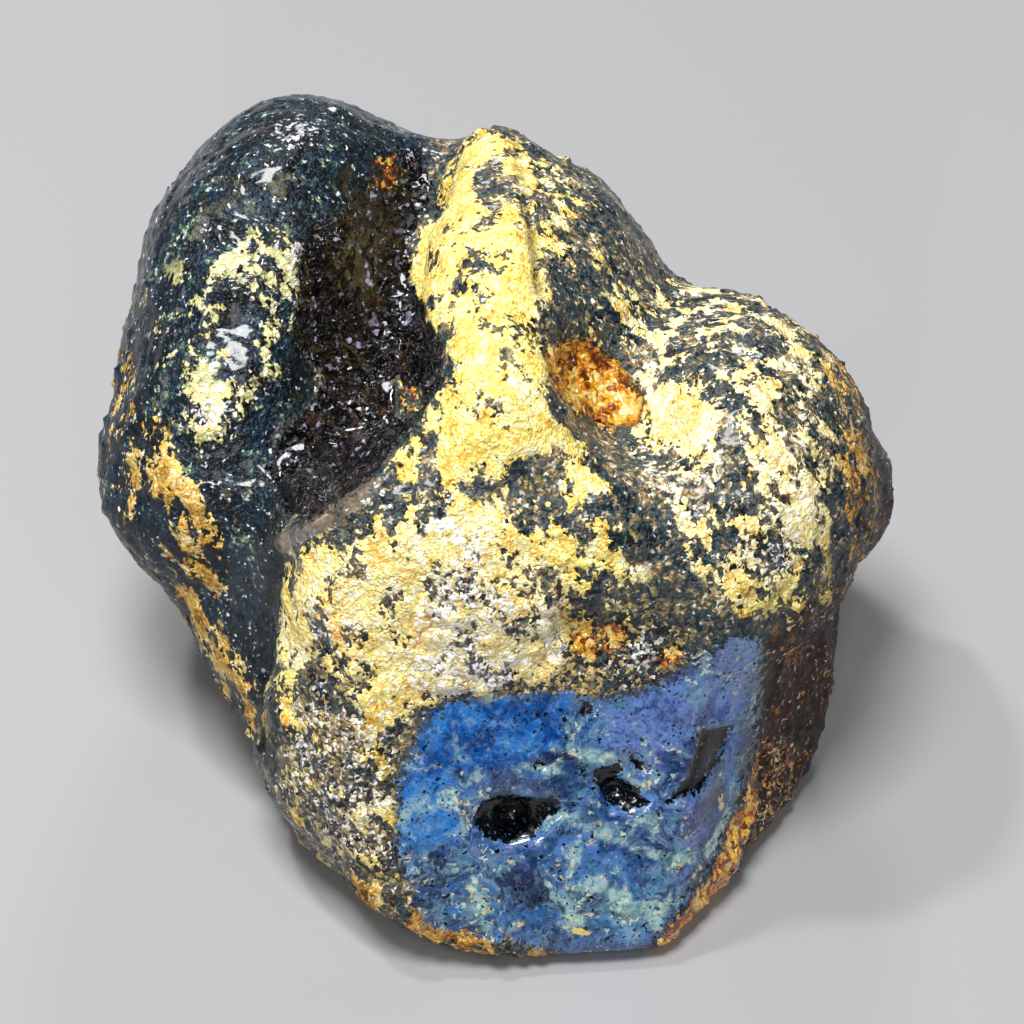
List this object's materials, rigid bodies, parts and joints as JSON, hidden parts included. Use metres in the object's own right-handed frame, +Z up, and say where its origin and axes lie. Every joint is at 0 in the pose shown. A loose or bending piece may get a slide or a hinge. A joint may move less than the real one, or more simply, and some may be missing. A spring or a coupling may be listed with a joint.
{
  "type": "raw amber nugget",
  "caption": "Raw blue amber nugget: lobes of resin grown together, crusted all over, with one flat window that shows the blue resin.",
  "frame": {"origin": "on the surface the nugget rests on, under the middle of its bounding box", "axes": "+Z up from the surface it rests on; +Y from the flat window at the front to the back of the left lobe; +X to the nub on the right"},
  "size_m": [0.0686, 0.071, 0.0475],
  "materials": {
    "amber": "raw crust, part waxy and part wet-glossy, with one ground and polished window"
  },
  "bodies": {
    "root": {"amber_nugget": "amber"}
  },
  "joints": []
}
